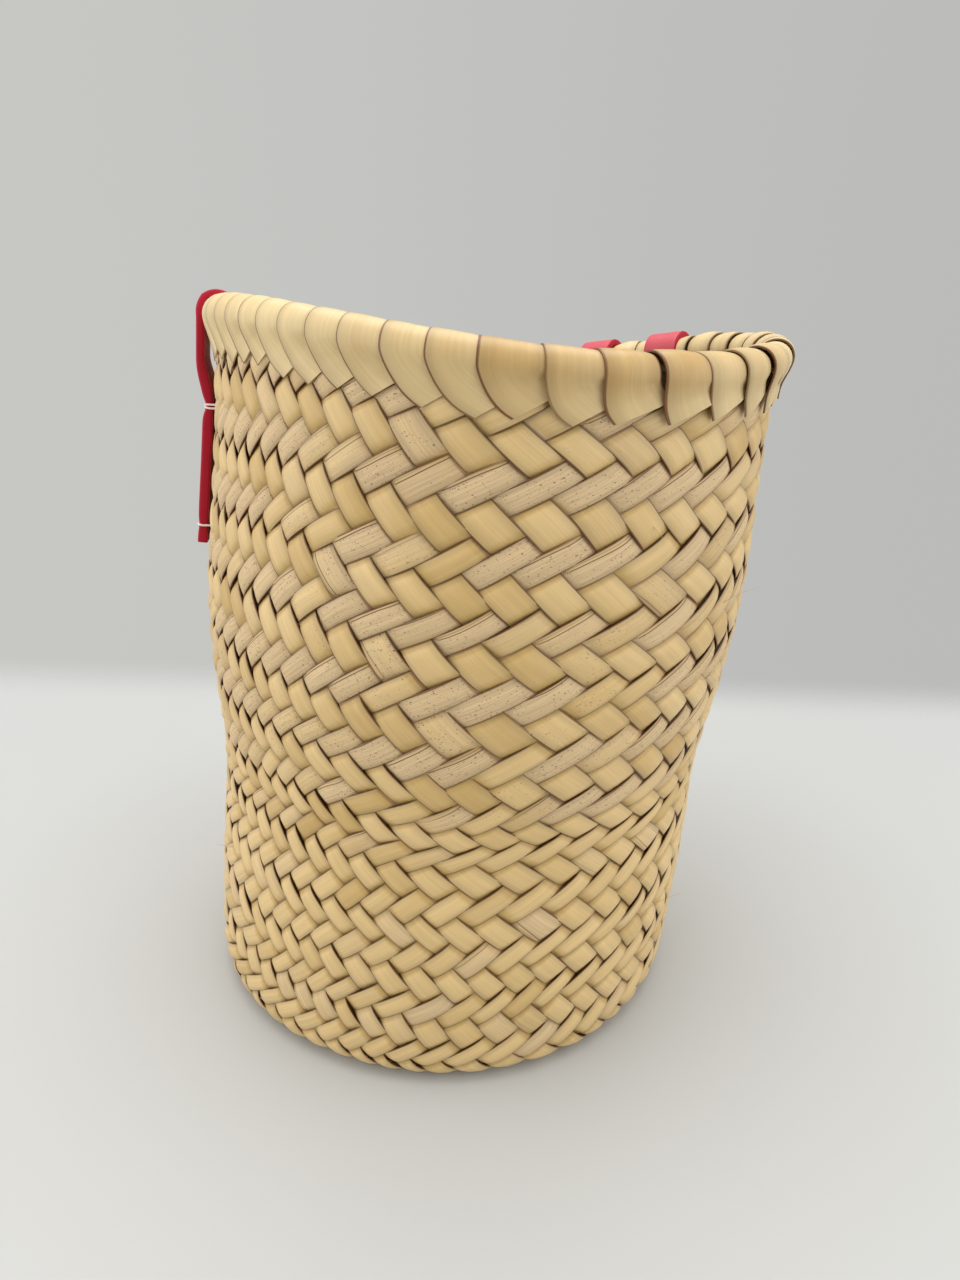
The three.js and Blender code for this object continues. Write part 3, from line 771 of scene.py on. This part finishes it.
def strip_groups(strips, count):
    """Groups of neighbouring strips, numbered from 1, with each kind of what they give in one array."""
    for number, members in enumerate(np.array_split(np.arange(len(strips)), count), 1):
        yield number, [np.stack(part) for part in zip(*(strips[i] for i in members))]


def build_wall(material, fields):
    """Both families of strips, in groups of neighbours."""
    rng = np.random.default_rng(11)
    for name, slant in (("falling", 1), ("rising", -1)):
        steps = int((TOP_ROWS[name] - LOWEST_ROW) * STEPS_PER_ROW) + 1
        rows = np.linspace(LOWEST_ROW, TOP_ROWS[name], steps)
        strips = [wall_strip(rng, index, slant, rows, fields) for index in range(STRIP_COUNT)]
        for group, parts in strip_groups(strips, GROUP_COUNT):
            piece = ribbon_object(f"plait_{name}_{group}", *parts, material)
            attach(piece, "basket")
            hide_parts("wall_plait")


def build_fibres(material):
    """Thin leaf fibres that stand off the wall."""
    share = np.linspace(0, 1, 14)
    paths = []
    for degrees, height, length, around, up in FIBRES:
        reach = share * length * MM
        angle = math.radians(degrees) + around * reach * 0.7 / BASE_RADIUS
        out = FIBRE_FOOT + reach * 0.55 * share + FIBRE_CURL * np.sin(4 * share)
        paths.append(plait_point(angle, height * MM + up * reach * 0.6, out))
    piece = tube_object("loose_fibres", paths, FIBRE_RADIUS * (1 - 0.6 * share), 6, material)
    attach(piece, "basket")
    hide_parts("wall_plait")


def base_strip(rng, index, slant):
    """One straight strip of the bottom, given as wall_strip gives one. Slant is 1 for strips along X,
    and -1 for strips along Y."""
    centre = index * BASE_STRIP
    half = math.sqrt(BASE_REACH ** 2 - centre ** 2)
    run = np.linspace(-half, half, BASE_STEPS)[:, None]
    place = centre + RING_ACROSS * BASE_STRIP / 2 * rng.uniform(*BASE_WIDTHS)
    over = wave(run / BASE_STRIP - slant * index + (0.5 if slant > 0 else 2.5))
    rise = HALF_WALL + WEAVE_DEPTH * over + float_hump(over) + RING_SIDE * LEAF_THICKNESS / 2
    rise = rise + BASE_LIFT * smoothstep(np.hypot(run, place), *BASE_LIFT_RADII)
    run, place, across = (np.broadcast_to(part, rise.shape) for part in (run, place, RING_ACROSS))
    pair = (run, place) if slant > 0 else (place, run)
    leaf = np.array([rng.uniform(0.1, 0.6), rng.uniform(0, 0.3), rng.uniform(), 0])
    along = run + rng.uniform(0, LEAF_SHIFT)
    return np.stack([*pair, rise], -1), along, across, np.broadcast_to(leaf, (*rise.shape, 4))


def build_base(material):
    """The round bottom, plaited from straight strips that end in the turn of the wall."""
    rng = np.random.default_rng(5)
    reach_count = int(BASE_REACH / BASE_STRIP)
    for name, slant in (("lengthwise", 1), ("crosswise", -1)):
        strips = [base_strip(rng, index, slant) for index in range(-reach_count, reach_count + 1)]
        ((_, parts),) = strip_groups(strips, 1)
        piece = ribbon_object(f"base_{name}", *parts, material)
        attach(piece, "basket")
        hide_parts("base_plait")


# Rim

def wrap_path():
    """The middle line of a wrap, as columns: distance out of the wall, depth below the crest, and
    length so far, from its end outside over the roll to its end inside."""
    share = np.linspace(0, 1, LEG_STEPS)
    depth = WRAP_END + (ROLL_RADIUS - WRAP_END) * share
    leg_out = LEG_OUT + LEG_SWELL * smoothstep(share, 0, 0.6)
    leg_out = leg_out + LEG_RISE * smoothstep(share, 0.35, 1)
    turn = np.linspace(0, np.pi, ROLL_STEPS + 2)[1:-1]
    out = np.concatenate([leg_out, WRAP_ROLL * np.cos(turn), -leg_out[::-1]])
    depth = np.concatenate([depth, ROLL_RADIUS - WRAP_ROLL * np.sin(turn), depth[::-1]])
    length = np.concatenate([[0], np.cumsum(np.hypot(np.diff(out), np.diff(depth)))])
    return out[:, None], depth[:, None], length[:, None]


def wrap_slant(angle):
    """How much the wraps slant at an angle: fully on the side of the first handle, little opposite."""
    return LEAST_SLANT + (1 - LEAST_SLANT) * smoothstep(np.cos(angle - SLANT_ANGLE), -0.35, 0.45)


def strap_press(angle):
    """How much the roll is pressed in at an angle, by a strap that passes over it."""
    press = 0
    for end in np.radians(sum(HANDLE_ENDS.values(), ())):
        press = press + np.exp(-((angle_between(angle, end) * RIM_RADIUS / PRESS_SPREAD) ** 4))
    return press


def wrap_course(rng, slant, tucked, outside, path):
    """A wrap's own middle line: distance out of the wall, depth, and slide round the rim in strips.
    A slanting wrap is tucked in at its tip, and a loose one stands off."""
    out, depth, length = path
    loose = 1 - slant
    longer = -TUCKED_SHORTER * tucked - LOOSE_SHORTER * (1 - tucked)
    longer = longer + rng.uniform(-LENGTH_SPREAD, LENGTH_SPREAD)
    depth = depth + longer * smoothstep(depth, LEG_TOP, WRAP_END)
    out = out + outside * (TUCKED_OUT * tucked + LOOSE_OUT * loose) * smoothstep(depth, *OFF_DEPTHS)
    out = out - TIP_IN * tucked * smoothstep(length, TIP_LENGTH, 0)
    below = np.maximum(0, depth - LEG_TOP)
    slide = outside * SLANT_SLIDE * slant ** 2 * (below / SLIDE_DEPTH) ** 1.6
    return out, depth, slide + LOOSE_SLIDE * loose * (length[-1] / 2 - length) / SLIDE_LENGTH


def wrap_rise(rng, loose, low):
    """How far the points round a wrap rise: it laps over its neighbour, and is crowned."""
    lap = WRAP_LAP * (0.45 + 0.6 * loose) * rng.uniform(0.6, 1.2) * (1 - RING_ACROSS) / 2
    crown = (1 - np.abs(RING_ACROSS) ** 3) * (SLANT_CROWN + LOOSE_CROWN * loose) * rng.uniform(0.5, 1.3)
    lap = lap * (1 - 0.5 * low) + rng.normal(0, LAP_SPREAD) * loose
    return lap + crown + RING_SIDE * LEAF_THICKNESS / 2


def rim_wrap(rng, index, path, fields):
    """One strip end folded over the rim, with a slanting tip. On the side of the first handle it comes
    up from under the rising strips as a falling strip does, and opposite it ends on top of them."""
    length = path[2]
    outside = np.where(np.arange(len(length)) < len(length) / 2, 1, -1)[:, None]
    start = index + WRAP_START + rng.uniform(-WRAP_SHIFT, WRAP_SHIFT)
    slant = wrap_slant(plait_angle(start, ROW_COUNT))
    tucked = smoothstep(slant, 0.55, 0.85)
    out, depth, slide = wrap_course(rng, slant, tucked, outside, path)
    low = smoothstep(depth, *LOW_DEPTHS)
    taper = 0.15 * tucked * smoothstep(depth, *TAPER_DEPTHS)
    width = WRAP_WIDTH + 0.23 * slant + rng.uniform(-WIDTH_SPREAD, WIDTH_SPREAD)
    offset = (RING_ACROSS + outside * (1 - outside * RING_ACROSS) * taper) * width / 2
    drop = -outside * RING_ACROSS * (TIP_DROP + TUCKED_DROP * tucked) * low
    rise = wrap_rise(rng, 1 - slant, low)
    on_roll = np.clip((ROLL_RADIUS - depth) / WRAP_ROLL, 0, 1)
    facing_out = np.where(on_roll > 0, out / WRAP_ROLL, outside)
    angle = plait_angle(start + slide + offset, ROW_COUNT)
    angle = angle + fields[0](angle, ROW_COUNT - 1) * PITCH_ANGLE * low
    drop = drop - fields[1](angle, ROW_COUNT - 1) * ROW_HEIGHT * low
    rise = rise - ROLL_PRESS * strap_press(angle) * smoothstep(depth, *PRESS_DEPTHS)
    points = rim_point(angle, out + rise * facing_out, depth + drop - rise * on_roll)
    along = np.broadcast_to(length + rng.uniform(0, LEAF_SHIFT), rise.shape)
    # Painted shade on the front of the rim, deepest near the crest
    front_shade = np.exp(-((angle_between(angle.mean(), SHADED_FRONT_ANGLE) / 0.6) ** 2))
    leaf = np.zeros((*rise.shape, 4))
    leaf[..., 0] = rng.uniform(0.0, 0.14) + 0.45 * front_shade * (1 - 0.6 * low)
    leaf[..., 1] = rng.uniform(0, 0.2)
    leaf[..., 2] = rng.uniform()
    return points, along, np.broadcast_to(RING_ACROSS, rise.shape), leaf


def build_rim(material, fields):
    rng = np.random.default_rng(23)
    path = wrap_path()
    wraps = [rim_wrap(rng, index, path, fields) for index in range(STRIP_COUNT)]
    for group, parts in strip_groups(wraps, WRAP_GROUP_COUNT):
        piece = ribbon_object(f"rim_wraps_{group}", *parts, material)
        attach(piece, "basket")
        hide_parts("rim_wrapping")


def build_core(material):
    """The twisted leaf bundle in the roll."""
    angle = np.linspace(0, 2 * np.pi, CORE_STEPS, endpoint=False)
    paths = []
    for strand in range(CORE_STRANDS):
        turn = CORE_TURNS * angle + strand / CORE_STRANDS * 2 * np.pi
        depth = ROLL_RADIUS + CORE_SPREAD * np.sin(turn)
        paths.append(rim_point(angle, CORE_SPREAD * np.cos(turn), depth))
    piece = tube_object("rim_bundle", paths, CORE_STRAND_RADIUS, 6, material, closed=True)
    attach(piece, "basket")
    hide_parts("rim_core")


# Handles

def handle_grip(ends):
    """The middles of the roll at a handle's two ends, the line between them, and the directions out of
    the basket and up."""
    middles = rim_point(np.radians(ends), 0, ROLL_RADIUS)
    along = unit(middles[1] - middles[0])
    out = unit(np.cross(along, UP))
    return middles, along, out, unit(np.cross(out, along))


def bend_place(middle, out, up, turn):
    """Points of the strap over the roll, and the way that they face."""
    facing = unit(out * np.cos(turn)[:, None] + up * np.sin(turn)[:, None])
    return middle + facing * BEND_RADIUS, facing


def tail_places(angle, middle, grip):
    """A strap from its cut end up the wall and over the roll to the middle of the crest, with its
    thickness, which the stitches pinch."""
    _, _, out, up = grip
    radial = np.array([math.cos(angle), math.sin(angle), 0.0])
    depth = np.linspace(TAIL_DEPTH, RIM_DEPTH, TAIL_STEPS)
    lift = smoothstep(depth, UPPER_STITCH - LIFT_LENGTH, RIM_DEPTH)
    reach = STRAP_OUT + (STRAP_OFF_WRAP - STRAP_OUT) * lift
    near = np.exp(-(((depth - UPPER_STITCH) / STITCH_SPREAD) ** 2))
    near = near + LOWER_PINCH * np.exp(-(((depth - LOWER_STITCH) / STITCH_SPREAD) ** 2))
    wall_points = rim_point(np.full(depth.shape, angle), reach - near * STITCH_PINCH / 2, depth)
    turn = np.linspace(0, np.pi / 2, BEND_STEPS)
    share = np.minimum(1, turn / (np.pi / 4))[:, None]
    rising = unit(UP * (1 - share) + up * share)
    bend_points, bend_facing = bend_place(middle, unit(radial * (1 - share) + out * share), rising, turn)
    points = np.concatenate([wall_points, bend_points])
    facing = np.concatenate([np.broadcast_to(radial, wall_points.shape), bend_facing])
    slim = (STRAP_THICKNESS - BEND_THICKNESS) * smoothstep(depth, RIM_DEPTH + SLIM_LENGTH, RIM_DEPTH)
    thickness = STRAP_THICKNESS - near * STITCH_PINCH - slim
    thickness = np.concatenate([thickness, np.full(turn.shape, BEND_THICKNESS)])
    return points, facing, thickness


def room_inside(point):
    """Distance from points in the basket to the inner face of the wall."""
    height = point[:, 2]
    for _ in range(3):
        angle = np.arctan2(point[:, 1], point[:, 0] - wall_drift(height))
        height = point[:, 2] - lift_share(height) * rim_lift(angle)
    reach = np.hypot(point[:, 0] - wall_drift(height), point[:, 1])
    return wall_radius(height) - 2 * HALF_WALL - reach


def loop_places(grip, lean):
    """A handle's loop from the middle of one crest to the middle of the other, and the points of its
    round bend."""
    middles, along, out, up = grip
    hang = -up * LOOP_DROP - out * lean
    legs = []
    turn = np.linspace(np.pi / 2, np.pi, BEND_STEPS)
    for middle, away in ((middles[0], -along), (middles[1], along)):
        bend_points, bend_facing = bend_place(middle, out, up, turn)
        share = np.linspace(0, 1, LEG_POINTS + 1)[1:, None]
        twist = smoothstep(share * LOOP_DROP, TWIST_START, LOOP_DROP) * np.pi / 2
        leg = bend_points[-1] + hang * share
        leg_facing = -out * np.cos(twist) + away * np.sin(twist)
        legs.append((np.concatenate([bend_points, leg]), np.concatenate([bend_facing, leg_facing])))
    start, end = legs[0][0][-1], legs[1][0][-1]
    turn = np.linspace(0, np.pi, ROUND_STEPS + 2)[1:-1, None]
    facing = -along * np.cos(turn) + unit(hang) * np.sin(turn)
    bend = (start + end) / 2 + facing * np.linalg.norm(end - start) / 2
    points = np.concatenate([legs[0][0], bend, legs[1][0][::-1]])
    return points, np.concatenate([legs[0][1], facing, legs[1][1][::-1]]), bend


def strap_section(thickness):
    """Rounded outline of the strap: places across it, and through it for each thickness given."""
    turn = np.linspace(0, np.pi / 2, EDGE_POINTS)
    across, through = [], []
    for right, top, quarter in ((1, 1, 0), (-1, 1, 1), (-1, -1, 2), (1, -1, 3)):
        arc = turn + quarter * np.pi / 2
        flat = right * (STRAP_WIDTH / 2 - STRAP_EDGE)
        across.append(flat + STRAP_EDGE * np.cos(arc))
        through.append(top * (thickness[:, None] / 2 - STRAP_EDGE) + STRAP_EDGE * np.sin(arc))
        middle = np.linspace(flat, -flat, FLAT_POINTS + 2)[1:-1] if quarter in (0, 2) else np.zeros(0)
        across.append(middle)
        through.append(np.repeat(top * thickness[:, None] / 2, len(middle), 1))
    return np.concatenate(across), np.concatenate(through, 1)


def strap_object(name, points, facing, thickness, material):
    onward = unit(np.gradient(points, axis=0))
    face = unit(facing - onward * np.sum(facing * onward, -1, keepdims=True))
    sideways = np.cross(onward, face)
    across, through = strap_section(thickness)
    rings = points[:, None] + sideways[:, None] * across[:, None] + face[:, None] * through[..., None]
    steps, size = rings.shape[:2]
    index = np.arange(steps * size).reshape(steps, size)
    faces = ring_quads(index[:-1], index[1:]).reshape(-1, 4)
    # Each cut end is closed by quads between its two long sides
    pairs = np.arange(size // 2 - 1)
    for end in (0, steps - 1):
        ring = np.roll(index[end], -EDGE_POINTS)
        cap = np.stack([ring[pairs], ring[pairs + 1], ring[-2 - pairs], ring[-1 - pairs]], -1)
        faces = np.concatenate([faces, cap if end == 0 else cap[:, ::-1]])
    points = rings.reshape(-1, 3)
    faces, _ = outward(points, faces, [])
    length = np.concatenate([[0], np.cumsum(np.linalg.norm(np.diff(rings.mean(1), axis=0), axis=-1))])
    place = np.stack([np.repeat(length, size), np.tile(across, steps)], -1)
    return make_object(name, points, faces, material, {"Leather": place[faces.ravel()]})


def stitch_object(name, angle, depth, strand_places, pinched, material):
    """Strands of thread round a strap and through the wall, by their places up it and how far they
    pinch it."""
    radial = np.array([math.cos(angle), math.sin(angle), 0.0])
    along = np.cross(UP, radial)
    half = STRAP_WIDTH / 2 + STITCH_CLEAR
    outside = STRAP_OUT + STRAP_THICKNESS / 2 - pinched * STITCH_PINCH + THREAD_RADIUS * 0.8
    turn = np.linspace(0, 2 * np.pi, STITCH_STEPS, endpoint=False)
    course = np.stack([np.cos(turn), np.sin(turn)])
    across, through = np.sign(course) * np.abs(course) ** STITCH_SQUARE
    reach = (outside + STITCH_INSIDE) / 2 + through * (outside - STITCH_INSIDE) / 2
    middle = rim_point(np.array(angle), 0.0, depth)
    loop = middle + along * half * across[:, None] + radial * reach[:, None]
    strands = []
    for strand in strand_places:
        offset = strand * THREAD_RADIUS * 1.05 + STRAND_WANDER * np.sin(turn * 2 + strand)
        strands.append(loop + UP * offset[:, None])
    return tube_object(name, strands, THREAD_RADIUS, 8, material, closed=True)


def build_handle(name, ends, leather, thread):
    grip = handle_grip(ends)
    middles, _, out, up = grip
    for index, end in enumerate(np.radians(ends)):
        number = index + 1
        points, facing, thickness = tail_places(end, middles[index], grip)
        tail = strap_object(f"{name}_strap_{number}", points, facing, thickness, leather)
        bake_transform(tail)
        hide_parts(f"{name}_tail_{number}", f"{name}_crest_{number}")
        levels = (("upper", UPPER_STITCH, (-1, 1), 1), ("lower", LOWER_STITCH, (0,), LOWER_PINCH))
        for level, depth, strands, pinched in levels:
            thread_name = f"{name}_thread_{number}_{level}"
            stitch = stitch_object(thread_name, end, depth, strands, pinched, thread)
            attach(stitch, "basket")
            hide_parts(f"{name}_stitch_{number}_{level}")
    tightest = room_inside(loop_places(grip, 0)[2]).min()
    lean = max(0, STRAP_WIDTH / 2 + LOOP_WALL_GAP - tightest)
    points, facing, _ = loop_places(grip, lean)
    slim = 1 - smoothstep(np.abs(np.linspace(-1, 1, len(points))), 0.75, 0.55)
    thickness = STRAP_THICKNESS - (STRAP_THICKNESS - BEND_THICKNESS) * slim
    loop = strap_object(f"{name}_loop_strap", points, facing, thickness, leather)
    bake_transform(loop)
    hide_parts(f"{name}_loop")


# Stage

def build_camera():
    camera = bpy.data.cameras.new("camera")
    camera.sensor_fit = "AUTO"
    camera.sensor_width = SENSOR
    camera.lens = FOCAL_PIXELS * SENSOR / max(IMAGE_SIZE)
    camera.clip_start = CAMERA_NEAR
    holder = add_object("camera", camera)
    turn = Matrix.Rotation(math.pi / 2 - CAMERA_PITCH, 4, "X") @ Matrix.Rotation(CAMERA_ROLL, 4, "Z")
    holder.matrix_world = Matrix.Translation(CAMERA_PLACE) @ turn
    bpy.context.scene.camera = holder


def area_light(name, place, target, size, power):
    light = bpy.data.lights.new(name, "AREA")
    light.size = size
    light.energy = power
    holder = add_object(name, light)
    holder.location = place
    holder.rotation_euler = (Vector(target) - Vector(place)).to_track_quat("-Z", "Y").to_euler()


def build_floor():
    """A pale floor that fades out where the grey backdrop begins."""
    material, tree, shader = new_material("floor")
    set_shader(tree, shader, Base_Color=FLOOR_COLOUR, Roughness=0.6)
    place = add_node(tree, "ShaderNodeTexCoord").outputs["Object"]
    radius = add_node(tree, "ShaderNodeVectorMath", {0: place}, operation="LENGTH").outputs["Value"]
    behind = compute(tree, "SUBTRACT", split(tree, place)[1], FLOOR_BACK)
    beyond = compute(tree, "MAXIMUM", behind, compute(tree, "SUBTRACT", radius, FLOOR_REACH))
    clear = add_node(tree, "ShaderNodeBsdfTransparent").outputs[0]
    fade = ease(tree, beyond, -FLOOR_FADE, FLOOR_FADE)
    mixed = add_node(tree, "ShaderNodeMixShader", {0: fade, 1: shader.outputs[0], 2: clear})
    tree.links.new(mixed.outputs[0], tree.nodes["Material Output"].inputs["Surface"])
    corners = np.array([(-1, -1, 0), (1, -1, 0), (1, 1, 0), (-1, 1, 0)], float)
    floor = make_object("floor", corners, np.array([[0, 1, 2, 3]]), material)


def build_world():
    """Even grey light, and a backdrop that is a little darker on the right."""
    world = bpy.data.worlds.new("studio")
    world.use_nodes = True
    tree = world.node_tree
    path = add_node(tree, "ShaderNodeLightPath").outputs
    seen = compute(tree, "MAXIMUM", path["Is Camera Ray"], path["Is Glossy Ray"])
    seen = compute(tree, "MAXIMUM", seen, path["Is Transmission Ray"])
    direction = add_node(tree, "ShaderNodeTexCoord").outputs["Generated"]
    sideways = ease(tree, split(tree, direction)[0], -0.5, 0.5)
    backdrop = blend_colour(tree, sideways, *BACKDROP_COLOURS)
    colour = blend_colour(tree, seen, AMBIENT_COLOUR, backdrop)
    tree.links.new(colour, tree.nodes["Background"].inputs["Color"])
    bpy.context.scene.world = world


def build_stage():
    build_floor()
    build_world()
    for lamp_name, lamp in LAMPS.items():
        area_light(lamp_name, *lamp)
    bpy.context.scene.view_settings.view_transform = "Standard"


palm = palm_material("palm_plait", *PALM_COLOURS)
palm_rim = palm_material("palm_rim", *RIM_COLOURS)
unevenness = plait_fields(np.random.default_rng(11))
build_wall(palm, unevenness)
build_fibres(fibre_material())
build_base(palm)
build_rim(palm_rim, unevenness)
build_core(core_material())
leather = leather_material()
thread = thread_material()
for handle_name, handle_ends in HANDLE_ENDS.items():
    build_handle(handle_name, handle_ends, leather, thread)
build_camera()
build_stage()
